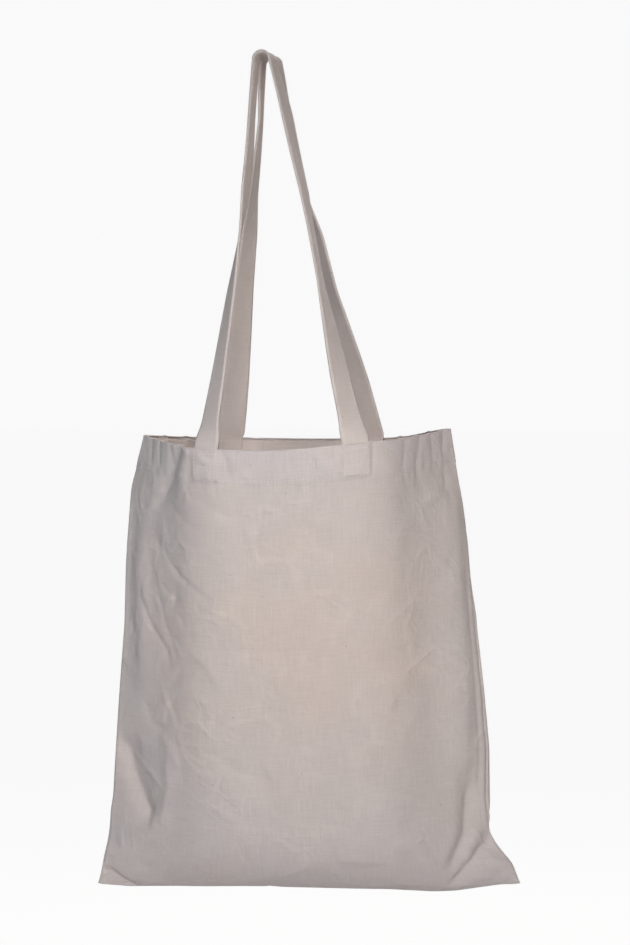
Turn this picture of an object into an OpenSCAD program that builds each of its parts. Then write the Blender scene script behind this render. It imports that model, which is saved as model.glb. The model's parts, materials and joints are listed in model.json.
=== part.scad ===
// Canvas tote bag, hanging by both straps from a narrow peg, filled out a little and open at the mouth.
// Millimetres. +Z is up, +X runs along the bag's width and the front panel faces -Y. The origin is the
// middle of the bottom seam.

/* [Bag] */
// Width of each panel laid flat, from seam to seam
bag_w = 380; // [320:5:440]
// Height of the mouth edge above the bottom seam, at the middle of a panel
bag_h = 404; // [330:2:460]
// Thickness of the canvas
cloth_t = 0.8; // [0.5:0.1:1.2]
// Distance from the middle plane to a panel at the top of its rounded bottom
belly_depth = 65; // [50:1:80]
// Height of the rounded bottom
belly_h = 70; // [50:5:100]
// Distance from the middle plane to a panel at the mouth
mouth_depth = 100; // [82:1:108]
// How much higher the mouth edge stands at the side seams than at the middle
corner_lift = 8; // [0:1:15]
// How much higher the mouth edge stands on the right than on the left, where the straps pull it up
mouth_tilt = 7; // [0:1:12]

/* [Bends] */
// Distance along the cloth from a panel's middle to the start of its bend towards a side seam
bend_start = 45; // [30:1:60]
// Length of cloth in each bend
bend_len = 62; // [45:1:75]

/* [Hems and seams] */
// Depth of the hem turned in at the mouth
hem_h = 28; // [20:1:40]
// Thickness of the turned-in layers
hem_t = 1.4; // [0.8:0.1:2]
// Distance along the cloth at which a hem stops short of each side seam
hem_inset = 8; // [8:1:14]
// Width of the overlocked seam allowances inside the bag
seam_w = 9; // [6:1:12]
// Thickness of the overlocked seam allowances
seam_t = 1.8; // [1.2:0.1:2.2]

/* [Straps] */
// Width of each strap
strap_w = 25; // [20:1:30]
// Thickness of each strap, canvas folded double
strap_t = 1.8; // [1.2:0.1:2.4]
// Distance along the cloth between the middles of a strap's two sewn ends
strap_spacing = 132; // [116:2:150]
// Length of each strap end sewn down below the mouth edge
strap_tail = 27; // [18:1:36]
// Height of the top of the straps above the mouth edge
strap_rise = 350; // [250:5:400]
// Height above the mouth edge at which a strap folds over
fold_h = 4.5; // [4:0.5:10]

/* [Hanging] */
// Radius of the peg that the straps hang from
peg_r = 5; // [4:0.5:12]
// Gap between the two straps, side by side on the peg
strap_gap = 2; // [1:0.5:6]
// Distance of the peg to the left of the middle of the bottom seam
peg_shift = 30; // [0:1:50]
// Angle that the peg is turned about the vertical, away from square to the panels
peg_turn = 6; // [0:1:20]
// Distance that the mouth leans to the left of the bottom seam
mouth_shift = 4; // [0:1:12]

/* [Hidden] */

canvas = [0.77, 0.72, 0.68];
canvas_inside = [0.68, 0.63, 0.59];
strap_cotton = [0.74, 0.69, 0.65];
overlock = [0.80, 0.77, 0.73];

layer_gap = 0.1;     // air between two layers of cloth that are sewn together
seam_gap = 0.1;      // between the two panels along the seams
fold_gap = 0.3;      // between a sewn strap end and the strap that folds over it
seam_air = 0.15;     // between a seam allowance and the panels beside it
bottom_air = 0.7;    // between the bottom allowance and the cloth under it
bottom_inset = 22;   // the bottom allowance stops this far from the corners, where the panels close on it
side_start = 12;     // the side allowances start about this high, above the corners
front_climb = [-0.16, 0.47]; // where the front mouth edge climbs to the right, as shares of half_w
back_climb = [0.32, 1];      // and where the back one does
$climb = front_climb;

half_w = bag_w / 2;
bend_end = bend_start + bend_len;
side_len = half_w - bend_end;

hem_off = -layer_gap;
strap_off = hem_off - hem_t - layer_gap;
strap_s = strap_spacing / 2;
top_z = bag_h + strap_rise;
arc_r = peg_r + strap_t / 2;
peg = [-peg_shift, 0, top_z - strap_t - peg_r];

bottom_steps = 10;   // rows up the rounded bottom
wall_steps = 8;      // rows from there to the hem
ribbon_steps = 20;   // rings up each leg of a handle
arc_steps = 10;      // rings round the peg
ribbon_blend = 0.12; // share of a leg over which the panel's curve fades out of the strap

// How far the hanging bag leans to the left at height z
function lean(z) = -mouth_shift * z / bag_h;

// Distance from the middle plane to a panel's middle: a quarter ellipse, then a straight wall
function depth(z) = z < belly_h
    ? belly_depth * sqrt(1 - pow(1 - z / belly_h, 2))
    : belly_depth + (mouth_depth - belly_depth) * (z - belly_h) / (bag_h - belly_h);

// How far a panel runs back over its bend and its straight side, when the bend turns it by an angle
function reach(turn) = bend_len * (1 - cos(turn)) * 180 / (PI * turn) + side_len * sin(turn);

// The turn that brings a panel of depth d back to the middle plane at its side seam, by halving
function bend_turn(d, low = 0.002, high = 90, steps = 24) =
    let (mid = (low + high) / 2)
    steps == 0 ? mid
    : reach(mid) > d ? bend_turn(d, low, mid, steps - 1) : bend_turn(d, mid, high, steps - 1);

// Place on the inner face of the front panel, at s along the cloth from its middle and height z
function wall(s, z) =
    let (turn = bend_turn(depth(z)),
         radius = bend_len * 180 / (PI * turn),
         along = abs(s),
         in_bend = min(max(along - bend_start, 0), bend_len),
         on_side = max(along - bend_end, 0),
         angle = turn * in_bend / bend_len,
         x = min(along, bend_start) + radius * sin(angle) + on_side * cos(turn),
         back = radius * (1 - cos(angle)) + on_side * sin(turn))
    [sign(s) * x + lean(z), back - depth(z) - seam_gap / 2, z + cloth_t];

// Outward direction of the front panel there, from the wall's own slopes. Level for the straps, whose
// cut ends lie in one plane
function outward(s, z, level) =
    let (d = 0.02,
         across = wall(min(s + d, half_w), z) - wall(max(s - d, -half_w), z),
         up = level ? [0, 0, 1] : wall(s, z + d) - wall(s, max(z - d, 0)),
         n = cross(across, up))
    n / norm(n);

function wall_off(s, z, off, level = false) = wall(s, z) + outward(s, z, level) * off;
function rising(t) = let (k = min(max(t, 0), 1)) k * k * (3 - 2 * k);
function climbed(s) = rising((s / half_w - $climb[0]) / ($climb[1] - $climb[0]));
function lifted(s, z) = z * (1 + (corner_lift * pow(s / half_w, 2) + mouth_tilt * climbed(s)) / bag_h);
function mouth_z(s) = lifted(s, bag_h);
function fold_z(side) = mouth_z(side * strap_s) + fold_h;
function steps_between(a, b, n) = [for (i = [1:n]) a + (b - a) * i / n];
function mean(points) = [for (p = points) 1] * points / len(points);

// Columns across a hem, close together in the bends only, and the panel's with one more at each seam.
// Rows up a panel, close together in its rounded bottom.
hem_end = half_w - hem_inset;
hem_columns = concat([-hem_end], steps_between(-hem_end, -bend_end, 3),
    steps_between(-bend_end, -bend_start, 12), steps_between(-bend_start, bend_start, 4),
    steps_between(bend_start, bend_end, 12), steps_between(bend_end, hem_end, 3));
panel_columns = concat([-half_w], hem_columns, [half_w]);
hem_rows = [bag_h - hem_h, bag_h];
panel_rows = concat([for (i = [0:bottom_steps]) belly_h * (1 - cos(90 * i / bottom_steps))],
                    steps_between(belly_h, bag_h - hem_h, wall_steps), [bag_h]);

// Sheet of cloth on the front panel's shape, between two distances out from its inner face. Its rows
// rise towards the side seams as the mouth edge does, unless it is level
module sheet(cols, rows, outer, inner, level = false) {
    n = len(rows);
    m = len(cols);
    points = [for (off = [outer, inner]) for (s = cols) for (z = rows)
        wall_off(s, level ? z : lifted(s, z), off, level)];
    function id(face, col, row) = (face * m + col) * n + row;
    function quad(a, b, c, d) = [[a, b, c], [a, c, d]];
    polyhedron(points, concat(
        [for (i = [0:m - 2]) for (j = [0:n - 2]) each concat(
            quad(id(0, i, j), id(0, i, j + 1), id(0, i + 1, j + 1), id(0, i + 1, j)),
            quad(id(1, i, j), id(1, i + 1, j), id(1, i + 1, j + 1), id(1, i, j + 1)))],
        [for (i = [0:m - 2]) each concat(
            quad(id(0, i, 0), id(0, i + 1, 0), id(1, i + 1, 0), id(1, i, 0)),
            quad(id(0, i, n - 1), id(1, i, n - 1), id(1, i + 1, n - 1), id(0, i + 1, n - 1)))],
        [for (j = [0:n - 2]) each concat(
            quad(id(0, 0, j), id(1, 0, j), id(1, 0, j + 1), id(0, 0, j + 1)),
            quad(id(0, m - 1, j), id(0, m - 1, j + 1), id(1, m - 1, j + 1), id(1, m - 1, j)))]));
}

// Closed skin over a list of rings that all have the same number of points
module skin(rings) {
    count = len(rings[0]);
    last = (len(rings) - 1) * count;
    polyhedron(
        points = [for (ring = rings) each ring],
        faces = concat(
            [[for (j = [0:count - 1]) j]],
            [for (i = [0:len(rings) - 2]) for (j = [0:count - 1])
                let (a = i * count + j, b = i * count + (j + 1) % count)
                each [[a, a + count, b], [b, a + count, b + count]]],
            [[for (j = [count - 1:-1:0]) last + j]]));
}

// One panel of canvas, from the bottom seam to the mouth edge
module panel() {
    sheet(panel_columns, panel_rows, cloth_t, 0);
}

// The mouth edge's turned-in layers, flat against the inside of the panel
module hem() {
    sheet(hem_columns, hem_rows, hem_off, hem_off - hem_t);
}

// Overlocked allowance of a side seam: both panels' edges, turned into the bag
module side_seam(side) {
    rows = [for (z = panel_rows) if (z > side_start) lifted(side * half_w, z)];
    half_t = seam_t / 2;
    skin([for (z = rows)
        let (turn = bend_turn(depth(z)),
             edge = wall(half_w, z).x - lean(z),
             tip = seam_air / sin(turn),
             full = (half_t + seam_air / cos(turn)) / tan(turn),
             outline = [[tip, 0.05], [full, half_t], [seam_w, half_t],
                        [seam_w, -half_t], [full, -half_t], [tip, -0.05]])
        [for (i = side > 0 ? [0:5] : [5:-1:0])
            [side * (edge - outline[i].x) + lean(z), outline[i].y, z + cloth_t]]]);
}

// Overlocked allowance of the bottom seam, standing up between the panels
module bottom_allowance() {
    length = bag_w - 2 * bottom_inset;
    translate([-length / 2, -seam_t / 2, cloth_t + bottom_air]) cube([length, seam_t, seam_w]);
}

// End of a strap, sewn flat inside the hem and standing up past the mouth edge to the fold line
module strap_end(side) {
    low = mouth_z(side * strap_s) - strap_tail;
    cols = [for (i = [-3:3]) side * strap_s + i * strap_w / 6];
    rows = concat([low], steps_between(low, fold_z(side), 5));
    sheet(cols, rows, strap_off, strap_off - strap_t, level = true);
}

// A strap's cross-section: across it, and out from the middle of its thickness
ribbon = concat([for (i = [-2:2]) [i * strap_w / 4, strap_t / 2]],
                [for (i = [2:-1:-2]) [i * strap_w / 4, -strap_t / 2]]);

// Cut end of a handle just above the fold line, still in the curve of the panel
function cut_ring(side) = [for (q = ribbon)
    wall_off(side * (strap_s - q.x), fold_z(side) + fold_gap, strap_off - strap_t / 2 + q.y, level = true)];

// Middle of a strap on the peg, the peg's axis turned about the vertical
function strap_middle(turn) = peg - (strap_w + strap_gap) / 2 * [sin(turn), cos(turn), 0];

// Point of the strap's middle line round the peg, at an angle up from the peg's own right-hand side
function on_peg(turn, angle) =
    strap_middle(turn) + arc_r * [cos(angle) * cos(turn), -cos(angle) * sin(turn), sin(angle)];

// Angle round the peg at which a leg of the handle meets it
function peg_angle(turn, side) =
    let (c = mean(cut_ring(side)) - strap_middle(turn), beside = c.x * cos(turn) - c.y * sin(turn))
    atan2(c.z, beside) + side * acos(arc_r / norm([beside, c.z])) + (side < 0 ? 360 : 0);

// Point up a leg, t from 0 at its cut end to 1 at the peg: straight from the side, easing onto the peg
function leg_point(turn, side, t) =
    let (low = mean(cut_ring(side)), high = on_peg(turn, peg_angle(turn, side)),
         eased = 1 - pow(1 - t, 1.2))
    [low.x + (high.x - low.x) * t, low.y + (high.y - low.y) * eased, low.z + (high.z - low.z) * t];

// Direction across the strap there: along the cloth at the cut, turning to lie along the peg
function leg_across(turn, side, t) =
    let (ring = cut_ring(side), d = ring[4] - ring[0], low = atan2(d.y, d.x))
    low + (-90 - turn - low) * sin(90 * t);

// Ring of the handle at a point of its middle line, square to its way
function square_ring(p, way, angle) =
    let (out = cross([cos(angle), sin(angle), 0], way), n = out / norm(out), w = cross(way, n) / norm(way))
    [for (q = ribbon) p + w * q.x + n * q.y];

// Ring up a leg, t from 0 to 1, blended from the curved cut end into the flat strap
function leg_ring(turn, side, t) =
    let (p = leg_point(turn, side, t),
         way = side * (leg_point(turn, side, t - 0.01) - leg_point(turn, side, min(t + 0.01, 1))),
         flat = square_ring(p, way, leg_across(turn, side, t)),
         cut = [for (q = cut_ring(side)) q + p - mean(cut_ring(side))],
         k = pow(max(1 - t / ribbon_blend, 0), 2))
    flat * (1 - k) + cut * k;

// Handle: up from the left cut end, over the peg and down to the right one
module handle(turn) {
    left = peg_angle(turn, -1);
    right = peg_angle(turn, 1);
    skin(concat(
        [for (i = [0:ribbon_steps]) leg_ring(turn, -1, i / ribbon_steps)],
        [for (i = [1:arc_steps - 1])
            let (angle = left + (right - left) * i / arc_steps,
                 way = on_peg(turn, angle - 0.1) - on_peg(turn, angle + 0.1))
            square_ring(on_peg(turn, angle), way, -90 - turn)],
        [for (i = [ribbon_steps:-1:0]) leg_ring(turn, 1, i / ribbon_steps)]));
}

// What is on the back: the mouth edge there climbs in its own place
module on_back() {
    $climb = back_climb;
    mirror([0, 1, 0]) children();
}

module front_panel() { color(canvas) panel(); }
module back_panel() { color(canvas) on_back() panel(); }
module front_hem() { color(canvas_inside) hem(); }
module back_hem() { color(canvas_inside) on_back() hem(); }
module left_side_seam() { color(overlock) side_seam(-1); }
module right_side_seam() { color(overlock) side_seam(1); }
module bottom_seam() { color(overlock) bottom_allowance(); }
module front_left_strap_end() { color(strap_cotton) strap_end(-1); }
module front_right_strap_end() { color(strap_cotton) strap_end(1); }
module back_left_strap_end() { color(strap_cotton) on_back() strap_end(-1); }
module back_right_strap_end() { color(strap_cotton) on_back() strap_end(1); }
module front_handle() { color(strap_cotton) handle(peg_turn); }
module back_handle() { color(strap_cotton) on_back() handle(-peg_turn); }

front_panel();
back_panel();
front_hem();
back_hem();
left_side_seam();
right_side_seam();
bottom_seam();
front_left_strap_end();
front_right_strap_end();
back_left_strap_end();
back_right_strap_end();
front_handle();
back_handle();
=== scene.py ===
import json
import math

import bpy
import numpy as np
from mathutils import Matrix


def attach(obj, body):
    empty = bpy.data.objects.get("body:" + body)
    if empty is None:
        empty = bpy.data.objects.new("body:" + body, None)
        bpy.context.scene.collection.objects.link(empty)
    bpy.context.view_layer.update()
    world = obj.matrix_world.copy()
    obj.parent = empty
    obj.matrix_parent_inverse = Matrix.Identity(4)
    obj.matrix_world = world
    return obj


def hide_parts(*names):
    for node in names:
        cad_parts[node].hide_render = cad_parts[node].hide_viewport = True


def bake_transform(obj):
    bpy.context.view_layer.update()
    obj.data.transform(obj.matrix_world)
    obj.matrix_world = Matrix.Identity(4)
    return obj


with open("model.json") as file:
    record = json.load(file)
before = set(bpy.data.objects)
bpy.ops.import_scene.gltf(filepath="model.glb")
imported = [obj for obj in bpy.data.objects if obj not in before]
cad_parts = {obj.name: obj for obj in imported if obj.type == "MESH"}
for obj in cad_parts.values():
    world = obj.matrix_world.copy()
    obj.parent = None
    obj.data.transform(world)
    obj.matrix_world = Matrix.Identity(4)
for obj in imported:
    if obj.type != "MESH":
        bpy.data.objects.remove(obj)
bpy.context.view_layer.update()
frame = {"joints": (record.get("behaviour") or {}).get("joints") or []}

# Camera, floor and light. The bag hangs from its straps well above a pale floor, and is seen from a little
# to its right. Soft light comes from in front, both sides, below and behind.
scene = bpy.context.scene
scene.view_settings.view_transform = "Standard"


def facing(place, target):
    """Rotation of a camera or lamp that looks from a place to a target."""
    x, y, z = np.array(target) - np.array(place)
    return math.pi / 2 + math.atan2(z, math.hypot(x, y)), 0, math.atan2(-x, y)


eye = (0.2, -2.0, 0.52)
looked_at = (0.0125, 0, 0.3805)
bpy.ops.object.select_all(action="DESELECT")
bpy.ops.object.camera_add(location=eye)
camera = bpy.context.object
camera.rotation_euler = facing(eye, looked_at)
camera.data.sensor_width = 36
camera.data.lens = 85
scene.camera = camera


def add_node(tree, kind, inputs=(), **settings):
    """A shader node, with each input set to a value or joined to another node's output."""
    node = tree.nodes.new(kind)
    for name, value in settings.items():
        setattr(node, name, value)
    for socket, value in dict(inputs).items():
        if isinstance(value, bpy.types.NodeSocket):
            tree.links.new(value, node.inputs[socket])
        else:
            node.inputs[socket].default_value = value
    return node


def split_for_camera(tree, output, plain, seen):
    """Ends a tree in one shader that only the camera sees and a plain one for all else."""
    path = add_node(tree, "ShaderNodeLightPath")
    split = add_node(tree, "ShaderNodeMixShader",
                     {0: path.outputs["Is Camera Ray"], 1: plain.outputs[0], 2: seen.outputs[0]})
    tree.links.new(split.outputs[0], tree.nodes[output].inputs["Surface"])


floor_z = -0.6
bpy.ops.mesh.primitive_plane_add(size=40, location=(0, 0, floor_z))
floor = bpy.context.object
floor.name = "floor"
paper = bpy.data.materials.new("pale_floor")
paper.use_nodes = True
matte = paper.node_tree.nodes["Principled BSDF"]
matte.inputs["Base Color"].default_value = (0.9, 0.9, 0.9, 1)
matte.inputs["Roughness"].default_value = 0.9
glow = add_node(paper.node_tree, "ShaderNodeEmission", {"Color": (0.935, 0.935, 0.935, 1)})
lit = add_node(paper.node_tree, "ShaderNodeBsdfDiffuse", {"Color": (0.06, 0.06, 0.06, 1)})
pale = add_node(paper.node_tree, "ShaderNodeAddShader", {0: lit.outputs[0], 1: glow.outputs[0]})
split_for_camera(paper.node_tree, "Material Output", matte, pale)
floor.data.materials.append(paper)

world = bpy.data.worlds.new("studio")
world.use_nodes = True
dim = world.node_tree.nodes["Background"]
dim.inputs["Color"].default_value = (0.96, 0.98, 1, 1)
dim.inputs["Strength"].default_value = 0.14
white = add_node(world.node_tree, "ShaderNodeBackground", {"Color": (0.95, 0.95, 0.95, 1)})
split_for_camera(world.node_tree, "World Output", dim, white)
scene.world = world

lit_place = (0, 0, 0.3)
for place, size, power, colour, spread in (
    ((0.3, -1.5, 0.95), 0.7, 2.4, (1, 0.94, 0.9), 60),
    ((-0.6, -1.2, 0.6), 0.8, 4, (0.7, 0.86, 1), 180),
    ((2.2, -1.3, 0.5), 1.2, 3, (0.8, 0.9, 1), 180),
    ((0.1, -1.2, -0.4), 0.8, 2, (1, 0.97, 0.95), 180),
    ((0, 2.0, 1.6), 1.2, 55, (1, 0.94, 0.91), 180),
):
    bpy.ops.object.light_add(type="AREA", location=place)
    lamp = bpy.context.object
    lamp.data.size = size
    lamp.data.energy = power
    lamp.data.color = colour
    lamp.data.spread = math.radians(spread)
    lamp.rotation_euler = facing(place, lit_place)

# The bag's two panels. Each is one piece of unbleached cotton canvas, sewn to the other inside out
# along the sides and the bottom and turned, so that the seams show as plain edges. The cloth
# hangs from the straps: round at the bottom, open at the mouth, and it can't stretch.
side_names = {-1: "front", 1: "back"}
end_names = {-1: "left", 1: "right"}
bag_w = 0.380
bag_h = 0.404
half_w = bag_w / 2
cloth_t = 0.0008
seam_gap = 0.0001
belly_h = 0.070            # up to here the panels part in a round, and above it in a straight line
belly_depth = 0.065        # how far a panel's middle is there from the plane of the seams
mouth_depth = 0.100        # and how far at the mouth
bend_start = 0.045         # a panel is flat as far as this from its middle, and then bends evenly
bend_len = 0.062
bend_end = bend_start + bend_len
side_len = half_w - bend_end
mouth_shift = 0.004        # how far the mouth hangs to the left of the bottom
corner_lift = 0.008        # how far the mouth rises to its corners
mouth_tilt = 0.007         # and how far more on the right, over a span given in shares of half_w
climb_spans = {-1: (-0.16, 0.47), 1: (0.32, 1.0)}

# how far a panel's middle stands out from its seams, for each angle that its sides turn through
turns = np.radians(np.linspace(0.01, 85, 600))
reaches = bend_len * (1 - np.cos(turns)) / turns + side_len * np.sin(turns)


def smooth(x):
    x = np.clip(x, 0, 1)
    return x * x * (3 - 2 * x)


def unit(v):
    return v / np.maximum(np.linalg.norm(v, axis=-1, keepdims=True), 1e-12)


def run_along(line):
    """How far along a line of places each of them is."""
    return np.concatenate([[0], np.cumsum(np.linalg.norm(np.diff(line, axis=0), axis=1))])


def depth_at(z):
    """Distance from the middle plane to a panel's middle at height z."""
    low = belly_depth * np.sqrt(np.clip(1 - (1 - z / belly_h) ** 2, 0, 1))
    high = belly_depth + (mouth_depth - belly_depth) * (z - belly_h) / (bag_h - belly_h)
    return np.where(z < belly_h, low, high)


def wall(side, s, z):
    """Place on a panel, side -1 front or 1 back, at s along the cloth from its middle and height z.
    Past a seam the place is on the other panel."""
    over = np.abs(s) > half_w
    side = np.where(over, -side, side)
    s = np.where(over, np.sign(s) * (2 * half_w - np.abs(s)), s)
    depth = depth_at(z)
    turn = np.interp(depth, reaches, turns)
    radius = bend_len / turn
    along = np.abs(s)
    angle = turn * np.clip(along - bend_start, 0, bend_len) / bend_len
    on_side = np.maximum(along - bend_end, 0)
    x = np.minimum(along, bend_start) + radius * np.sin(angle) + on_side * np.cos(turn)
    back = radius * (1 - np.cos(angle)) + on_side * np.sin(turn)
    lean = -mouth_shift * z / bag_h
    return np.stack([np.sign(s) * x + lean, side * (depth - back + seam_gap / 2), z + cloth_t], -1)


def lifted(side, s, z):
    """Height of a row at s: it rises towards the seams, and to the right where the straps pull."""
    low, high = climb_spans[side]
    climbed = smooth((s / half_w - low) / (high - low))
    return z * (1 + (corner_lift * (s / half_w) ** 2 + mouth_tilt * climbed) / bag_h)


def softened(values, reach, width):
    """Even steps of a line, each averaged with those within reach of it."""
    kernel = np.exp(-(np.arange(-reach, reach + 1) / width) ** 2)
    return np.convolve(np.pad(values, reach, mode="edge"), kernel / kernel.sum(), mode="valid")


def eased(at, places, values):
    """A soft curve through values at places, all in millimetres, at a distance in metres."""
    fine = np.arange(-500, 501.0)
    return np.interp(at * 1000, fine, softened(np.interp(fine, places, values), 12, 5.0)) / 1000


heights = np.concatenate([belly_h * (1 - np.cos(np.linspace(0, np.pi / 2, 40)[:-1])),
                          np.linspace(belly_h, bag_h, 131)])
cloth_up = run_along(np.stack([depth_at(heights), heights], -1))
cloth_h = cloth_up[-1]


def to_seam(s, start):
    """0 as far as a start on the right of a panel, growing softly to 1 at its seam."""
    return smooth((s - start) / (half_w - start))


def hung(side, s, v):
    """Place on a panel at s across the cloth and v up it from the bottom seam, before its folds."""
    z = lifted(side, s, np.interp(v, cloth_up, heights))
    # on the right the seam rolls a little round to the front, and near the mouth to the back
    rolled = eased(z, [0, 55, 80, 240, 330], [0, 0, 3, 2, -2]) * to_seam(s, 0.1)
    place = wall(side, s + side * rolled, z)
    # the left side bulges low down and again under the mouth, the right one is nipped in above its corner
    out_left = eased(z, [0, 25, 65, 80, 240, 300, 365, 410], [-2, 3, 4, 2, 1.5, 5, 6.5, 0])
    out_right = eased(z, [0, 20, 40, 55, 90, 130, 180, 280, 350, 400],
                      [9, 11, 3, -1, 0.5, 3.5, 3.5, 2, 2, 0])
    place[..., 0] -= out_left * to_seam(-s, 0.1)
    place[..., 0] += out_right * to_seam(s, 0.13)
    # the bottom seam hangs a little lower on the left and rides up towards the lower right corner
    sag = eased(s, [-190, -160, -100, -50, 80, 120, 140, 175, 190], [-1, -2, 0, 2, 2, 0, 1, 8, 8])
    place[..., 2] += sag * (1 - smooth(z / belly_h))
    return place


def outward(grid, side):
    """Outward normals of a panel's grid of places, rows up the bag and columns across it."""
    across = np.gradient(grid, axis=1)
    up = np.gradient(grid, axis=0)
    return unit(np.cross(across, up)) * -side


def crease(s, v, line, widths, depth, crisp, ends):
    """How far the cloth stands out beside a line of places on it, in metres, from a fold in millimetres.
    The widths are those at its start and end, first on the left of the way it runs, then on the right."""
    line = np.array(line, float)
    starts = run_along(line)
    here = np.stack([s, v], -1) * 1000
    best = np.full(s.shape, np.inf)
    run = np.zeros(s.shape)
    on_left = np.zeros(s.shape, bool)
    for a, b, start, length in zip(line[:-1], line[1:], starts, np.diff(starts)):
        along, away = b - a, here - a
        t = np.clip((away @ along) / length ** 2, 0, 1)
        distance = np.linalg.norm(away - t[..., None] * along, axis=-1)
        nearer = distance < best
        run = np.where(nearer, start + t * length, run)
        on_left = np.where(nearer, along[0] * away[..., 1] > along[1] * away[..., 0], on_left)
        best = np.minimum(best, distance)
    left, right = [np.interp(run, [0, starts[-1]], ends_of_side) for ends_of_side in widths]
    fade = smooth(run / ends[0]) * smooth((starts[-1] - run) / ends[1])
    return depth / 1000 * np.exp(-(best / np.where(on_left, left, right)) ** crisp) * fade


grid_step = 0.00195
by_seam = np.array([0, 0.0007, 0.0015])    # finer steps, where the cloth turns in at a seam
inner_start = 0.003
columns = np.concatenate([by_seam, np.linspace(inner_start, bag_w - inner_start, round(bag_w / grid_step)),
                          bag_w - by_seam[::-1]]) - half_w
rows = np.concatenate([by_seam, np.linspace(inner_start, cloth_h, round(cloth_h / grid_step))])
cloth_s, cloth_v = np.meshgrid(columns, rows)

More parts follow.
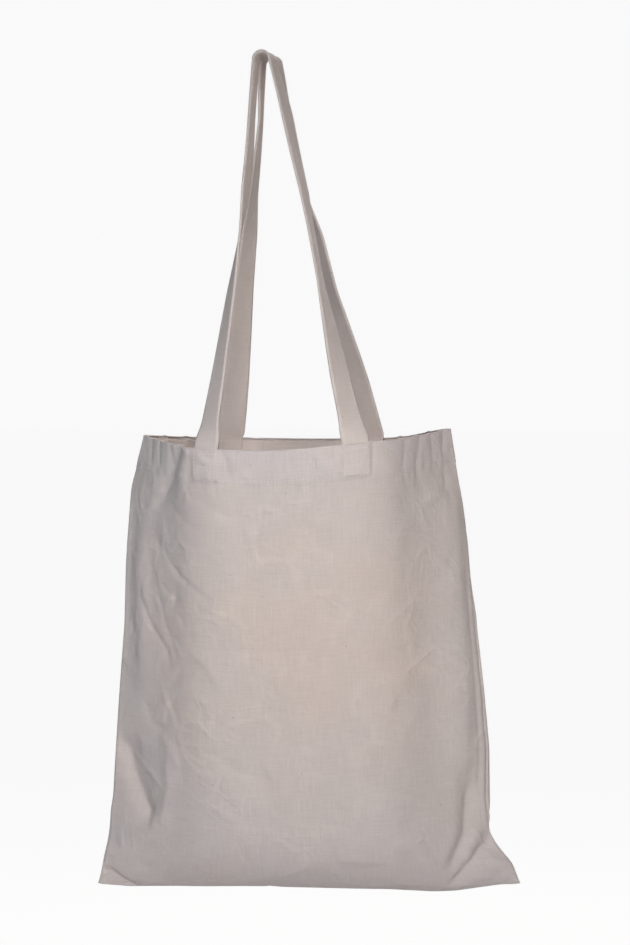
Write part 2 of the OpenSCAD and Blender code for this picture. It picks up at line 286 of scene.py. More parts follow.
# The folds of each panel, in millimetres: a line of places, across from the middle and up from the bottom
# seam, its widths on the left and right of the way it runs, how far it stands out, how crisp it is, and
# over how much of its ends it fades
folds = {
    -1: [
        # gathers in the hem and below it, where the straps pull the mouth in
        ([(-170, 445), (-155, 415)], [(4, 3), (4, 3)], -1.3, 2, (1, 16)),
        ([(-150, 445), (-140, 415)], [(3, 3), (3, 3)], -1.4, 2, (1, 14)),
        ([(-125, 445), (-120, 415)], [(3, 3), (3, 3)], -1.2, 2, (1, 14)),
        ([(-105, 445), (-120, 420), (-140, 390), (-150, 360)], [(10, 16), (6, 12)], -5, 1.5, (1, 50)),
        ([(-90, 445), (-100, 415), (-115, 380)], [(6, 10), (9, 14)], 1.6, 2, (1, 50)),
        ([(-55, 445), (-45, 410)], [(2.5, 2), (3.5, 3)], -1.7, 1.4, (1, 14)),
        ([(-50, 440), (-25, 410)], [(2, 2), (3, 3)], 1.1, 1.4, (4, 14)),
        ([(75, 445), (75, 410)], [(2, 1.5), (1.5, 1.5)], -1.1, 1.4, (1, 8)),
        ([(115, 445), (110, 420), (120, 385)], [(3, 6), (3, 6)], -0.9, 1.6, (1, 26)),
        ([(140, 445), (130, 420), (140, 380)], [(3, 5), (5, 8)], -1.2, 1.6, (1, 34)),
        ([(155, 445), (155, 425), (150, 405)], [(3, 4), (4, 4)], -0.8, 1.6, (1, 14)),
        ([(175, 445), (170, 410), (170, 365)], [(4, 6), (4, 7)], -1.3, 1.6, (1, 36)),
        # curved creases down the left
        ([(-130, 345), (-110, 330), (-90, 320)], [(2, 2), (3, 3)], -1.2, 1.3, (10, 12)),
        ([(-160, 320), (-160, 300), (-145, 275), (-125, 260), (-115, 235)], [(3, 3), (6, 6)], -1.7, 1.3,
         (20, 20)),
        ([(-140, 325), (-130, 290), (-105, 245)], [(2.5, 2.5), (4, 6)], -1.0, 1.3, (16, 22)),
        ([(-120, 340), (-65, 305)], [(2, 2), (4, 4)], -0.8, 1.4, (14, 14)),
        ([(-190, 245), (-160, 250)], [(2, 2), (3, 3)], -0.9, 1.4, (4, 14)),
        ([(-150, 190), (-120, 185)], [(3, 3), (6, 6)], -1.5, 1.6, (14, 14)),
        ([(-135, 185), (-120, 170), (-105, 150)], [(5, 5), (5, 5)], 1.1, 2, (12, 14)),
        # the left flank folds in under the belly
        ([(-185, 180), (-170, 140), (-155, 115), (-140, 95)], [(34, 9), (9, 6)], -9, 1.4, (26, 16)),
        ([(-125, 180), (-120, 135), (-130, 95)], [(10, 7), (9, 4)], 2.2, 1.6, (30, 14)),
        ([(-175, 160), (-140, 140), (-125, 130)], [(2, 2), (3, 3)], 1.2, 1.4, (8, 12)),
        ([(-175, 405), (-180, 340), (-175, 260), (-170, 190)], [(10, 12), (12, 12)], -1.0, 2, (50, 60)),
        ([(-160, 390), (-165, 330), (-160, 260), (-155, 210)], [(12, 14), (10, 12)], 2.8, 2, (60, 40)),
        ([(-190, 45), (-180, 40), (-170, 30), (-160, 20), (-155, 5)], [(4, 4), (14, 12)], -4.4, 1.3, (3, 8)),
        # where the bag was folded flat to be stored
        ([(-90, 265), (165, 265)], [(2, 2), (3.5, 3.5)], -0.45, 1.3, (30, 30)),
        ([(35, 415), (40, 390), (45, 355)], [(5, 7), (5, 7)], -0.6, 2, (10, 20)),
        # the right flank, and the pinch above the lower right corner
        ([(175, 410), (170, 330), (170, 250), (165, 170), (165, 130)], [(12, 12), (24, 24)], 4.2, 2,
         (50, 40)),
        ([(182, 330), (182, 120)], [(1.5, 1.5), (1.5, 1.5)], -0.8, 2, (50, 20)),
        ([(175, 150), (170, 120), (165, 90), (150, 70), (140, 50)], [(9, 7), (8, 5)], -6, 1.6, (36, 16)),
        ([(160, 110), (150, 85), (135, 60)], [(9, 9), (9, 9)], 1.5, 2, (20, 20)),
        ([(185, 80), (170, 70), (155, 55), (135, 25)], [(5, 9), (3, 4)], -5.4, 1.5, (4, 20)),
        ([(180, 90), (170, 85), (160, 70), (150, 50)], [(4, 8), (4, 8)], 2.4, 2, (5, 18)),
        ([(190, 85), (180, 80)], [(5, 5), (5, 5)], -5, 2, (1, 2)),
        ([(185, 60), (170, 45), (155, 25)], [(9, 9), (9, 9)], 2.2, 2, (10, 16)),
    ],
    1: [
        ([(-160, 442), (-152, 418), (-148, 380)], [(4, 8), (4, 8)], -1.8, 2, (1, 40)),
        ([(-130, 442), (-132, 410), (-120, 372)], [(4, 8), (4, 8)], -1.6, 2, (1, 40)),
        ([(-48, 442), (-40, 412), (-44, 372)], [(4, 8), (4, 8)], 1.2, 2, (1, 40)),
        ([(96, 442), (104, 408), (124, 360), (138, 310)], [(5, 14), (5, 14)], -2.6, 2, (1, 70)),
        ([(150, 442), (154, 412), (160, 370)], [(4, 8), (4, 8)], -1.6, 2, (1, 40)),
        ([(168, 360), (150, 300), (146, 240), (156, 180)], [(14, 14), (10, 10)], -2.6, 1.8, (60, 60)),
        ([(-172, 330), (-150, 270), (-148, 200), (-160, 130)], [(10, 10), (14, 14)], -2.8, 1.8, (60, 60)),
        ([(-120, 300), (-90, 240), (-84, 180)], [(5, 7), (5, 7)], -0.9, 1.6, (40, 40)),
        ([(70, 330), (98, 280), (108, 220)], [(4, 6), (4, 6)], -0.8, 1.6, (40, 40)),
        ([(-165, 264), (-60, 262), (60, 264), (160, 262)], [(1.4, 1.4), (2, 2)], -0.5, 1.2, (20, 20)),
        ([(-186, 78), (-170, 66), (-154, 50), (-134, 26)], [(4, 7), (3, 4)], -3.2, 1.6, (4, 18)),
        ([(188, 70), (172, 60), (156, 44), (140, 22)], [(4, 7), (3, 4)], -3.0, 1.6, (4, 18)),
    ],
}

strap_w = 0.025
strap_t = 0.0018
strap_tail = 0.027         # how far a strap's end reaches down inside the mouth
# the middle of each strap end across its panel, by side and then by end
sewn_at = {(-1, -1): -0.071, (-1, 1): 0.061, (1, -1): -0.074, (1, 1): 0.062}
hem_h = 0.028
hem_row = 0.0022           # how far above the hem's lower edge its stitches run
end_rise = 0.0012          # how far the cloth stands out over a strap end, an allowance and the hem
allowance_rise = 0.0005
hem_rise = 0.0008
seam_dip = 0.0011          # how far it is drawn in at a seam and along the hem's stitches
row_dip = 0.0004
pucker_rise = 0.0003


def crumples(side):
    """Small creases at random places on a panel, each as crease() takes it."""
    chance = np.random.RandomState(7 if side < 0 else 11)
    for _ in range(150):
        middle = chance.uniform((-176, 15), (176, 410))
        way = chance.uniform(0, math.pi)
        if chance.uniform() < 0.3:
            middle[0] = -abs(middle[0])
        reach = chance.uniform(10, 42)
        bend = chance.uniform(-0.3, 0.3)
        tip = reach * np.array([math.cos(way), 0.8 * math.sin(way)])
        line = [middle - tip, middle + bend * np.array([-tip[1], tip[0]]), middle + tip]
        spread = chance.uniform(2.4, 4.5)
        depth = chance.uniform(-1.5, 1.5)
        yield line, [(spread, spread), (2.2 * spread, 2.2 * spread)], depth, 1.3, (reach, reach)


def ridge(distance, width):
    """1 on a line, falling softly away beside it."""
    return np.exp(-(distance / width) ** 2)


def folded(side, s, v):
    """How far a panel stands out at places on it: its folds, its crumples and what is sewn under it."""
    rise = np.zeros(s.shape)
    for fold in [*folds[side], *crumples(side)]:
        rise += crease(s, v, *fold)
    from_seam = np.minimum(half_w - np.abs(s), v) * 1000
    rise *= smooth(from_seam / 6)
    # the cloth lies over the strap ends, over the seam allowances, and over the turned-in hem
    for end in end_names:
        beside = (strap_w / 2 - np.abs(s - sewn_at[(side, end)])) / 0.002 + 0.5
        above = (v - (cloth_h - strap_tail)) / 0.002 + 0.5
        rise += end_rise * smooth(beside) * smooth(above)
    rise += allowance_rise * ridge(from_seam - 3.4, 1.8) - seam_dip * ridge(from_seam, 0.9)
    in_hem = (v - (cloth_h - hem_h)) * 1000
    from_row = in_hem - hem_row * 1000
    pucker = pucker_rise * np.sin(s * 420 + 2 * np.sin(s * 97)) * ridge(from_row, 9)
    rise += pucker + hem_rise * smooth(in_hem / 2.4 + 0.5) - row_dip * ridge(from_row, 1.6)
    return rise


surface = {}
for side in side_names:
    grid = hung(side, cloth_s, cloth_v)
    grid = grid + outward(grid, side) * (folded(side, cloth_s, cloth_v) + cloth_t / 2)[..., None]
    surface[side] = (grid, outward(grid, side))


def on_panel(side, s, v, off):
    """Places at s across a panel and v up it, off out from the middle of its cloth, and the normals there."""
    s, v, off = np.broadcast_arrays(np.asarray(s, float), np.asarray(v, float), np.asarray(off, float))
    row = np.clip(np.interp(v, rows, np.arange(len(rows))), 0, len(rows) - 1.001)
    column = np.clip(np.interp(s, columns, np.arange(len(columns))), 0, len(columns) - 1.001)
    i, j = row.astype(int), column.astype(int)
    up, across = (row - i)[..., None], (column - j)[..., None]
    place, normal = [(g[i, j] * (1 - up) + g[i + 1, j] * up) * (1 - across)
                     + (g[i, j + 1] * (1 - up) + g[i + 1, j + 1] * up) * across for g in surface[side]]
    normal = unit(normal)
    return place + normal * off[..., None], normal


def cloth_object(name, grid, s, v, side):
    """A cloth mesh over a grid of places, with a UV map in metres along the cloth."""
    n_rows, n_columns = grid.shape[:2]
    bpy.ops.object.select_all(action="DESELECT")
    bpy.ops.mesh.primitive_grid_add(x_subdivisions=n_columns - 1, y_subdivisions=n_rows - 1, size=2)
    piece = bpy.context.object
    piece.name = name
    mesh = piece.data
    flat = np.zeros(len(mesh.vertices) * 3)
    mesh.vertices.foreach_get("co", flat)
    flat = flat.reshape(-1, 3)
    column = np.rint((flat[:, 0] + 1) / 2 * (n_columns - 1)).astype(int)
    row = np.rint((flat[:, 1] + 1) / 2 * (n_rows - 1)).astype(int)
    mesh.vertices.foreach_set("co", grid[row, column].ravel())
    corner = np.zeros(len(mesh.loops), int)
    mesh.loops.foreach_get("vertex_index", corner)
    uv = np.stack([s[row, column], v[row, column]], -1)[corner]
    mesh.uv_layers[0].data.foreach_set("uv", uv.ravel())
    mesh.update()
    if side > 0:
        bpy.ops.object.mode_set(mode="EDIT")
        bpy.ops.mesh.select_all(action="SELECT")
        bpy.ops.mesh.flip_normals()
        bpy.ops.object.mode_set(mode="OBJECT")
    bpy.ops.object.shade_smooth()
    return piece


def thicken(piece, thickness):
    """Gives a cloth mesh its thickness, half of it to each side."""
    bpy.context.view_layer.objects.active = piece
    wall_of_cloth = piece.modifiers.new("thickness", "SOLIDIFY")
    wall_of_cloth.thickness = thickness
    wall_of_cloth.offset = 0
    bpy.ops.object.modifier_apply(modifier=wall_of_cloth.name)


def maths(tree, operation, *values, **settings):
    """The outcome of a sum on numbers or other nodes' outputs."""
    inputs = dict(enumerate(values))
    return add_node(tree, "ShaderNodeMath", inputs, operation=operation, **settings).outputs[0]


def vectors(tree, operation, *values):
    """The same on places or colours."""
    return add_node(tree, "ShaderNodeVectorMath", dict(enumerate(values)), operation=operation).outputs[0]


def scaled(tree, colour, by):
    """A colour made darker or lighter."""
    return add_node(tree, "ShaderNodeVectorMath", {0: colour, "Scale": by}, operation="SCALE").outputs[0]


def mapped(tree, value, low, high, to_low=0.0, to_high=1.0, **settings):
    """A value between low and high carried over to the same share between two others."""
    ends = {0: value, 1: low, 2: high, 3: to_low, 4: to_high}
    return add_node(tree, "ShaderNodeMapRange", ends, **settings).outputs[0]


def mixed(tree, share, first, second):
    """A colour between two others."""
    return add_node(tree, "ShaderNodeMix", {0: share, 6: first, 7: second}, data_type="RGBA").outputs[2]


# What all the canvas shares: a plain weave of uneven threads, thicker here and there, with specks of
# cotton seed, warmer patches at random, a painted warm light around a panel's middle, and the fine crinkles
# of cloth that has been handled.
thread_spacing = 0.0006
weave = bpy.data.node_groups.new("plain_weave", "ShaderNodeTree")
for name in ("Shade", "Specks", "Warmth", "Height", "Crinkles"):
    weave.interface.new_socket(name, in_out="OUTPUT", socket_type="NodeSocketFloat")
woven = add_node(weave, "NodeGroupOutput")
cloth_place = add_node(weave, "ShaderNodeTexCoord").outputs["UV"]
uneven = add_node(weave, "ShaderNodeTexNoise", {"Vector": cloth_place, "Scale": 160.0, "Detail": 2.0})
wavy = vectors(weave, "MULTIPLY", uneven.outputs["Color"], (thread_spacing, thread_spacing, 0))
bent = add_node(weave, "ShaderNodeSeparateXYZ", {0: vectors(weave, "ADD", cloth_place, wavy)})
threads = []
for axis in (0, 1):
    angle = maths(weave, "MULTIPLY", bent.outputs[axis], math.pi / thread_spacing)
    threads.append(maths(weave, "SINE", angle))
over_under = maths(weave, "MULTIPLY", *threads)
slubs = []
for scale in ((45, 900, 1), (900, 45, 1)):
    stretched = vectors(weave, "MULTIPLY", cloth_place, scale)
    slubs.append(add_node(weave, "ShaderNodeTexNoise",
                          {"Vector": stretched, "Scale": 1.0, "Detail": 2.0, "Roughness": 0.6}).outputs[0])
shade = mapped(weave, maths(weave, "ADD", *slubs), 0.75, 1.25, -1.0, 1.0)
weave.links.new(maths(weave, "MULTIPLY_ADD", over_under, 0.25, shade), woven.inputs["Shade"])
weave.links.new(maths(weave, "MULTIPLY_ADD", shade, 0.6, over_under), woven.inputs["Height"])

cells = add_node(weave, "ShaderNodeTexVoronoi", {"Vector": cloth_place, "Scale": 100.0, "Randomness": 1.0})
speck_size = mapped(weave, cells.outputs["Distance"], 0.03, 0.065, 1.0, 0.0)
chosen = add_node(weave, "ShaderNodeSeparateColor", {0: cells.outputs["Color"]})
few = mapped(weave, chosen.outputs[0], 0.4, 1.0, 0.0, 0.95)
weave.links.new(maths(weave, "MULTIPLY", speck_size, few), woven.inputs["Specks"])

mottle = add_node(weave, "ShaderNodeTexNoise",
                  {"Vector": cloth_place, "Scale": 13.0, "Detail": 3.0, "Roughness": 0.5})
from_middle = add_node(weave, "ShaderNodeVectorMath", {0: cloth_place, 1: (0.02, 0.27, 0)},
                      operation="DISTANCE")
# painted warm light: the cloth turns warmer and lighter around a point on a panel's upper middle, as if lit
# there
painted_warm_light = mapped(weave, from_middle.outputs["Value"], 0.03, 0.2, 0.75, 0.0)
patches = mapped(weave, mottle.outputs[0], 0.35, 0.65, 0.0, 0.32)
weave.links.new(maths(weave, "ADD", painted_warm_light, patches, use_clamp=True), woven.inputs["Warmth"])

crinkled = add_node(weave, "ShaderNodeTexNoise", {"Vector": cloth_place, "Scale": 24.0, "Detail": 5.0,
                                                  "Roughness": 0.55, "Distortion": 1.2})
pulled = vectors(weave, "ADD", cloth_place,
                 vectors(weave, "MULTIPLY", mottle.outputs["Color"], (0.05, 0.05, 0)))
facets = []
for scale in (26.0, 58.0):
    edges = add_node(weave, "ShaderNodeTexVoronoi", {"Vector": pulled, "Scale": scale},
                     feature="DISTANCE_TO_EDGE")
    facets.append(mapped(weave, edges.outputs["Distance"], 0.0, 0.16, 1.0, 0.0,
                         interpolation_type="SMOOTHSTEP"))
patchy = add_node(weave, "ShaderNodeTexNoise", {"Vector": cloth_place, "Scale": 19.0, "Detail": 1.0})
where = mapped(weave, patchy.outputs[0], 0.42, 0.66, 0.0, 0.42)
lines = maths(weave, "MULTIPLY_ADD", facets[1], 0.45, facets[0])
broken = maths(weave, "MULTIPLY", lines, where)
weave.links.new(maths(weave, "ADD", crinkled.outputs[0], broken), woven.inputs["Crinkles"])


def canvas(name, warm, cool, crinkle=0.0004):
    """Cotton canvas between two colours, with its weave, slubs, seed specks and fine crinkles, the crinkles
    painted darker in their hollows as shade and lighter on their ridges.
    """
    made = bpy.data.materials.new(name)
    made.use_nodes = True
    tree = made.node_tree
    cloth = add_node(tree, "ShaderNodeGroup", node_tree=weave)
    ground = mixed(tree, cloth.outputs["Warmth"], (*cool, 1), (*warm, 1))
    shaded = scaled(tree, ground, mapped(tree, cloth.outputs["Shade"], -1.2, 1.2, 0.935, 1.06))
    # painted shade and light: the colour is darker in the crinkles' hollows and lighter on their ridges
    crease_shaded = scaled(tree, shaded, mapped(tree, cloth.outputs["Crinkles"], 0.3, 1.0, 0.97, 1.045))
    seeds = mixed(tree, cloth.outputs["Specks"], crease_shaded, (0.16, 0.12, 0.09, 1))
    creased = add_node(tree, "ShaderNodeBump",
                       {"Strength": 0.8, "Distance": crinkle, "Height": cloth.outputs["Crinkles"]})
    relief = add_node(tree, "ShaderNodeBump",
                      {"Strength": 0.35, "Distance": 0.00015, "Height": cloth.outputs["Height"],
                       "Normal": creased.outputs[0]})
    shader = tree.nodes["Principled BSDF"]
    tree.links.new(seeds, shader.inputs["Base Color"])
    tree.links.new(relief.outputs[0], shader.inputs["Normal"])
    for name, value in (("Roughness", 0.92), ("Specular IOR Level", 0.25), ("Sheen Weight", 0.12),
                        ("Sheen Roughness", 0.5)):
        shader.inputs[name].default_value = value
    return made


body_canvas = canvas("body_canvas", (0.585, 0.5, 0.45), (0.542, 0.49, 0.478), 0.0018)

# The hem zone of a panel: the cloth is doubled and lighter there, and painted darker along the row of
# stitches as shade in its groove
tree = body_canvas.node_tree
hem_start = cloth_h - hem_h
base = tree.nodes["Principled BSDF"].inputs["Base Color"]
up_cloth = add_node(tree, "ShaderNodeSeparateXYZ",
                    {0: add_node(tree, "ShaderNodeTexCoord").outputs["UV"]}).outputs["Y"]
doubled = mapped(tree, up_cloth, hem_start - 0.0004, hem_start + 0.0004)
lighter = mixed(tree, doubled, (0.93, 0.93, 0.93, 1), (0.945, 0.95, 0.965, 1))
from_row = maths(tree, "ABSOLUTE", maths(tree, "SUBTRACT", up_cloth, hem_start + hem_row))
# painted shade: a thin darker line along the row of stitches, where the groove would be in shade
stitch_row_shade = mapped(tree, from_row, 0.0003, 0.0012, 1.03, 1.075)
tinted = vectors(tree, "MULTIPLY", base.links[0].from_socket, lighter)
tree.links.new(scaled(tree, tinted, stitch_row_shade), base)

panel_t = 0.0007           # the panels' cloth as it is drawn
lip_r = 0.00075            # the round of the fold along the mouth
lip_turn = np.radians([30, 60, 90, 120, 150, 175])
over, up = lip_r * (1 - np.cos(lip_turn)), lip_r * np.sin(lip_turn)
for side, name in side_names.items():
    cloth, normals = surface[side]
    lip = cloth[-1] - normals[-1] * over[:, None, None] + np.array([0, 0, 1]) * up[:, None, None]
    grid = np.concatenate([cloth, lip])
    s = np.concatenate([cloth_s, np.repeat(cloth_s[-1:], len(lip_turn), 0)])
    v = np.concatenate([cloth_v, cloth_v[-1:] + lip_r * lip_turn[:, None]])
    panel = cloth_object(f"{name}_panel_canvas", grid, s, v, side)
    thicken(panel, panel_t)
    panel.data.materials.append(body_canvas)
    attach(panel, "bag")
    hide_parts(f"{name}_panel")

# The hems: the panels' top edges, turned in twice and sewn down with one row of stitches all round.
hem_canvas = canvas("hem_canvas", (0.62, 0.54, 0.50), (0.60, 0.535, 0.505))
hem_t = 0.0013
hem_off = -0.0012          # the hem's middle, off the middle of the panel's cloth
hem_end = half_w - 0.008
hem_edge = 0.0012
hem_rows = np.concatenate([[0, hem_edge / 3], np.linspace(hem_edge, hem_h - hem_edge, 12)]) + hem_start
hem_s, hem_v = np.meshgrid(np.linspace(-hem_end, hem_end, 150), hem_rows)
for side, name in side_names.items():
    grid, _ = on_panel(side, hem_s, hem_v, hem_off)
    hem = cloth_object(f"{name}_hem_turned_in", grid, hem_s, hem_v, side)
    thicken(hem, hem_t)
    hem.data.materials.append(hem_canvas)
    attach(hem, "bag")
    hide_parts(f"{name}_hem")

# Cotton thread: every seam that shows is a row of short stitches that sink into the cloth at both ends.
stitch_len = 0.0023
stitch_pitch = 0.003
thread_w = 0.00045
thread_flat = 0.8          # a stitch's thickness as a share of its width
stitch_off = 0.00007       # the middle of a stitch, off the face that it lies on


def thread_finish(name, kind, pattern, dark, light, roughness, **settings):
    """Cotton thread between two colours, in the fine pattern of its plies."""
    made = bpy.data.materials.new(name)
    made.use_nodes = True
    tree = made.node_tree
    place = add_node(tree, "ShaderNodeTexCoord").outputs["Object"]
    plies = add_node(tree, kind, {"Vector": place, **pattern}, **settings)
    shader = tree.nodes["Principled BSDF"]
    tree.links.new(mixed(tree, plies.outputs["Fac"], (*dark, 1), (*light, 1)), shader.inputs["Base Color"])
    shader.inputs["Roughness"].default_value = roughness
    return made


thread = thread_finish("cotton_thread", "ShaderNodeTexWave", {"Scale": 900.0, "Distortion": 3.0},
                       (0.60, 0.55, 0.51), (0.74, 0.69, 0.65), 0.7, bands_direction="DIAGONAL")

bpy.ops.object.select_all(action="DESELECT")
bpy.ops.mesh.primitive_uv_sphere_add(segments=6, ring_count=5, radius=0.5)
pattern = bpy.context.object
stitch_points = np.array([v.co for v in pattern.data.vertices])
stitch_faces = [list(face.vertices) for face in pattern.data.polygons]
bpy.data.objects.remove(pattern)


def at_distance(distance, run, values):
    """Values that are known along a run, at distances along it."""
    return np.stack([np.interp(distance, run, column) for column in values.T], -1)


def stitches(name, lines):
    """Rows of stitches along lines, each a list of places and their normals, as one mesh."""
    points, faces = [], []
    for line, normals in lines:
        run = run_along(line)
        count = max(int(run[-1] / stitch_pitch), 1)
        middles = (np.arange(count) + 0.5) * run[-1] / count
        along = unit(at_distance(middles + stitch_len / 2, run, line)
                     - at_distance(middles - stitch_len / 2, run, line))
        across = unit(np.cross(along, unit(at_distance(middles, run, normals))))
        normal = np.cross(across, along)
        for centre, a, b, n in zip(at_distance(middles, run, line), along, across, normal):
            offset = len(points) * len(stitch_points)
            points.append(centre + a * stitch_points[:, 2:] * stitch_len
                          + b * stitch_points[:, :1] * thread_w
                          + n * stitch_points[:, 1:2] * thread_w * thread_flat)
            faces += [[k + offset for k in face] for face in stitch_faces]
    mesh = bpy.data.meshes.new(name)
    mesh.from_pydata(np.concatenate(points).tolist(), [], faces)
    row = bpy.data.objects.new(name, mesh)
    scene.collection.objects.link(row)
    mesh.materials.append(thread)
    mesh.polygons.foreach_set("use_smooth", [True] * len(mesh.polygons))
    return row


seam_line = np.linspace(-half_w + 0.002, half_w - 0.002, 200)
inner_line = seam_line[8:-8]               # inside, the row stops short of the side allowances
row_v = hem_start + hem_row
for side, name in side_names.items():
    outer_row = on_panel(side, seam_line, row_v, panel_t / 2 + stitch_off)
    place, normal = on_panel(side, inner_line, row_v, hem_off - hem_t / 2 - stitch_off)
    row = stitches(f"{name}_hem_stitching", [outer_row, (place, -normal)])
    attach(row, "bag")

# The two straps: canvas folded double to 25 mm and sewn along both edges. The ends are sewn inside the
# hem, and each strap rises from them, turns on its way up and goes over the peg beside the other.
strap_rise = 0.350         # from bag_h up to the top of the straps
strap_gap = 0.002          # between the two straps on the peg
strap_off = -0.0029        # a sewn end's middle, off the middle of the panel's cloth
leg_off = 0.0025           # how far inside the panel's cloth a leg's middle leaves the mouth
fold_h = 0.0045            # from the mouth up to the hinge, and from there to where a leg starts
fold_gap = 0.0003
peg_r = 0.005
peg_turn = math.radians(6)
peg = np.array([-0.030, 0, bag_h + strap_rise - strap_t - peg_r])
peg_way = np.array([math.sin(peg_turn), math.cos(peg_turn), 0])
beside_peg = np.array([math.cos(peg_turn), -math.sin(peg_turn), 0])
arc_r = peg_r + strap_t / 2
# at shares of the way up a leg: where its width points, in degrees from the right round to the back, and
# how far it bows to the right, in millimetres
turn_places = [0, 0.05, 0.2, 0.4, 0.55, 0.65, 0.85, 1]
turning = {
    (-1, -1): [-25, -50, -60, -70, -85, -100, -95, -95],
    (-1, 1): [-160, -135, -120, -95, -95, -100, -105, -100],
    (1, -1): [20, 15, 35, 55, 65, 80, 90, 85],
    (1, 1): [160, 155, 140, 115, 115, 90, 90, 85],
}
bow_places = [0, 0.15, 0.4, 0.65, 0.85, 1]
bow = {
    (-1, -1): [0, 1.5, 3, 4.5, 1.5, 0],
    (-1, 1): [0, -1, 0, 3, 2.5, 0],
    (1, -1): [0, 0.5, 0, 1, 2.5, 0],
    (1, 1): [0, 0.5, -2.5, -2.5, -2, 0],
}


def along_leg(t, places, values):
    """A soft curve through values at shares of a leg."""
    fine = np.linspace(0, 1, 401)
    return np.interp(t, fine, softened(np.interp(fine, places, values), 16, 7.0))


def cut_middle(side, end):
    """Middle of a strap where it leaves the bag, from the hung panel's own curve."""
    sewn = sewn_at[(side, end)]
    s = sewn + np.linspace(-0.5, 0.5, 5) * strap_w
    z = np.full(5, lifted(side, sewn, bag_h) + fold_h + fold_gap)
    d = 1e-5
    level = unit(np.cross(wall(side, s + d, z) - wall(side, s - d, z), [0, 0, 1])) * -side
    return (wall(side, s, z) - level * leg_off).mean(0)


def peg_middle(side):
    """The place on the peg's axis that is under the middle of a strap."""
    return peg + peg_way * side * (strap_w + strap_gap) / 2


def on_peg(side, angle):
    """Middle line of a strap round the peg."""
    return peg_middle(side) + arc_r * (math.cos(angle) * beside_peg + np.array([0, 0, math.sin(angle)]))


def meeting_angle(side, end):
    """Angle round the peg at which a leg of the strap meets it."""
    low = cut_middle(side, end) - peg_middle(side)
    beside = low @ beside_peg
    angle = math.atan2(low[2], beside) + end * math.acos(arc_r / math.hypot(beside, low[2]))
    return angle + (2 * math.pi if end < 0 else 0)


leg_n = 150
across_n = 13
profile = np.linspace(-1, 1, across_n)


def leg(side, end):
    """Middle line of a leg from the mouth up to the peg, and where its width points along it."""
    low, high = cut_middle(side, end), on_peg(side, meeting_angle(side, end))
    t = np.linspace(0, 1, leg_n)[:, None]
    closing = 1 - (1 - t) ** 1.2
    line = low + (high - low) * np.concatenate([t, closing, t], 1)
    line[:, 0] += along_leg(t[:, 0], bow_places, bow[(side, end)]) / 1000
    angle = np.radians(along_leg(t[:, 0], turn_places, turning[(side, end)]))
    return line, np.stack([np.cos(angle), np.sin(angle), np.zeros(leg_n)], -1)


def free_length(side):
    """Places over a strap's two legs and the round of the peg, its edges curling in as it nears the peg."""
    left_line, left_across = leg(side, -1)
    right_line, right_across = leg(side, 1)
    arc = np.linspace(meeting_angle(side, -1), meeting_angle(side, 1), 12)[1:-1]
    middle = np.concatenate([left_line, [on_peg(side, angle) for angle in arc], right_line[::-1]])
    across = np.concatenate([left_across, np.repeat(peg_way[None] * side, len(arc), 0), right_across[::-1]])
    along = unit(np.gradient(middle, axis=0))
    across = unit(across - (across * along).sum(-1, keepdims=True) * along)
    out = np.cross(along, across)
    curl_start, curl_angle, nearly_flat = 0.72, math.radians(18), 1e-6
    pinch = smooth((np.linspace(0, 1, leg_n) - curl_start) / (1 - curl_start))
    curl = curl_angle * np.concatenate([pinch, np.ones(len(arc)), pinch[::-1]])[:, None] + nearly_flat
    sideways, inward = np.sin(profile * curl) / curl, (1 - np.cos(profile * curl)) / curl
    return middle[:, None] + (across[:, None] * sideways[..., None]
                              + out[:, None] * side * inward[..., None]) * strap_w / 2


def sewn_end(side, end):
    """Places over a strap's end inside the hem, from its lower edge up."""
    s = sewn_at[(side, end)] - end * profile * strap_w / 2
    v = np.linspace(cloth_h - strap_tail, cloth_h, 12)
    return on_panel(side, s[None, :], v[:, None], strap_off)[0]


strap_canvas = canvas("strap_canvas", (0.62, 0.545, 0.505), (0.605, 0.535, 0.51), 0.0008)
unsewn = 0.0055            # and how far the edge stitching, which would splay in the bend, is left out
edge_stitch_off = 0.00005
box_half = 0.010
box_low = cloth_h - strap_tail + 0.0025
box_high = cloth_h - 0.003
for side, name in side_names.items():
    grid = np.concatenate([sewn_end(side, -1), free_length(side), sewn_end(side, 1)[::-1]])
    centre = grid[:, across_n // 2]
    s, v = np.meshgrid(profile * strap_w / 2, run_along(centre))
    strap = cloth_object(f"{name}_strap", grid, s, v, side)
    thicken(strap, strap_t)
    strap.data.materials.append(strap_canvas)
    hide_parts(f"{name}_handle", f"{name}_left_strap_end", f"{name}_right_strap_end")
    joint = [j for j in frame["joints"] if j["child"] == f"{name}_handle"][0]
    hinge, axis = np.array(joint["pos_m"]), np.array(joint["axis"])
    up = unit(np.array([-axis[2], 0, axis[0]]) * np.sign(axis[0]))
    rise, half = (centre - hinge) @ up, len(grid) // 2
    sewn_rows = np.flatnonzero(rise < -unsewn)
    stretches = (sewn_rows[sewn_rows < half], np.flatnonzero(rise > unsewn), sewn_rows[sewn_rows > half])
    face = unit(np.cross(np.gradient(grid, axis=0), np.gradient(grid, axis=1)))
    edge_rows = []
    for column in (1, across_n - 2):
        for way in (-1, 1):
            normal = face[:, column] * way
            place = grid[:, column] + normal * (strap_t / 2 + edge_stitch_off)
            edge_rows += [(place[stretch], normal[stretch]) for stretch in stretches]
    edge_stitching = stitches(f"{name}_strap_stitching", edge_rows)
    for piece in (strap, edge_stitching):
        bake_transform(piece)
    boxes = []
    for end in end_names:
        left, right = sewn_at[(side, end)] - box_half, sewn_at[(side, end)] + box_half
        corners = [(left, box_low), (right, box_low), (right, box_high), (left, box_high)]
        for (s0, v0), (s1, v1) in zip(corners, corners[1:] + corners[:1]):
            boxes.append(on_panel(side, np.linspace(s0, s1, 20), np.linspace(v0, v1, 20),
                                  panel_t / 2 + stitch_off))
    box_stitching = stitches(f"{name}_strap_end_stitching", boxes)
    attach(box_stitching, "bag")

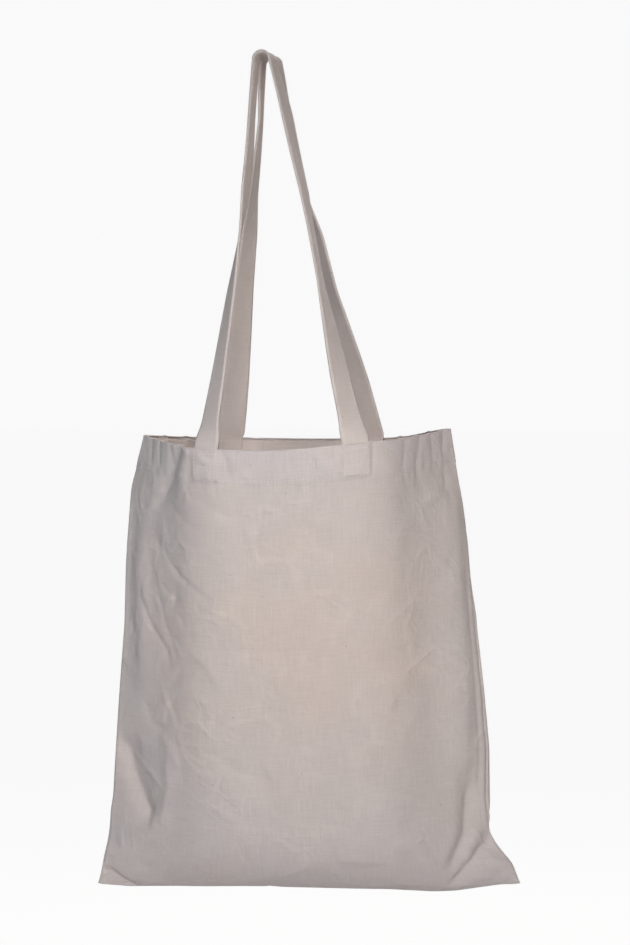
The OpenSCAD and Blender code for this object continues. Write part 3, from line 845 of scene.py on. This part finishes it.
# The seam allowances inside: both panels' edges along each side and the bottom, overlocked together with
# three threads. They show at the mouth and when the bag is turned inside out.
overlock = thread_finish("overlock_thread", "ShaderNodeTexNoise", {"Scale": 1500.0},
                         (0.60, 0.56, 0.51), (0.74, 0.70, 0.65), 0.8)
seam_w = 0.009
seam_t = 0.0014
loop_pitch = 0.0026
loop_reach = 0.0026        # how far a loop swings either way across the strip
loop_middle = seam_w - 0.0022
loop_off = 0.0002
loop_points = 8
overlock_r = 0.00022


def allowance(name, node, edge, inward, first):
    """A seam allowance along an edge: a strip of both panels' cloth and the threads looped over it."""
    along = unit(np.gradient(edge, axis=0))
    inward = unit(inward - (inward * along).sum(-1, keepdims=True) * along)
    reach = np.linspace(first, seam_w, 5)
    run = run_along(edge)
    u, v = np.meshgrid(run, reach)
    strip = cloth_object(name, edge[None] + inward[None] * reach[:, None, None], u, v, -1)
    thicken(strip, seam_t)
    strip.data.materials.append(hem_canvas)
    count = int(run[-1] / loop_pitch)
    step = np.arange(count * loop_points + 1)
    angle = step * 2 * math.pi / loop_points
    distance = step / loop_points * run[-1] / count
    centre = at_distance(distance, run, edge)
    way = unit(at_distance(distance, run, inward))
    side_way = unit(np.cross(unit(np.gradient(centre, axis=0)), way))
    loop = (centre + way * (loop_middle + loop_reach * np.cos(angle))[:, None]
            + side_way * ((seam_t / 2 + loop_off) * np.sin(angle))[:, None])
    curve = bpy.data.curves.new(name + "_threads", "CURVE")
    curve.dimensions = "3D"
    line = curve.splines.new("POLY")
    line.points.add(len(loop) - 1)
    line.points.foreach_set("co", np.concatenate([loop, np.ones((len(loop), 1))], 1).ravel())
    curve.bevel_depth = overlock_r
    curve.bevel_resolution = 0
    loops = bpy.data.objects.new(name + "_threads", curve)
    scene.collection.objects.link(loops)
    bpy.ops.object.select_all(action="DESELECT")
    bpy.context.view_layer.objects.active = loops
    loops.select_set(True)
    bpy.ops.object.convert(target="MESH")
    loops = bpy.context.object
    loops.data.materials.append(overlock)
    for piece in (strip, loops):
        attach(piece, "bag")
    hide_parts(node)


def between_panels(s, v):
    """Places halfway between the two panels."""
    return (on_panel(-1, s, v, 0)[0] + on_panel(1, s, v, 0)[0]) / 2


side_start, bottom_start = 0.003, 0.0022   # how far in from the seam line the strips start
up_seam = np.linspace(0.042, cloth_h - 0.003, 160)
for end, name in end_names.items():
    edge = between_panels(end * half_w, up_seam)
    inward = unit(between_panels(end * (half_w - seam_w), up_seam) - edge)
    allowance(f"{name}_side_allowance", f"{name}_side_seam", edge, inward, side_start)
along_seam = np.linspace(-half_w + 0.022, half_w - 0.022, 130)
edge = between_panels(along_seam, 0)
upward = np.zeros_like(edge) + np.array([0, 0, 1.0])
allowance("bottom_allowance", "bottom_seam", edge, upward, bottom_start)
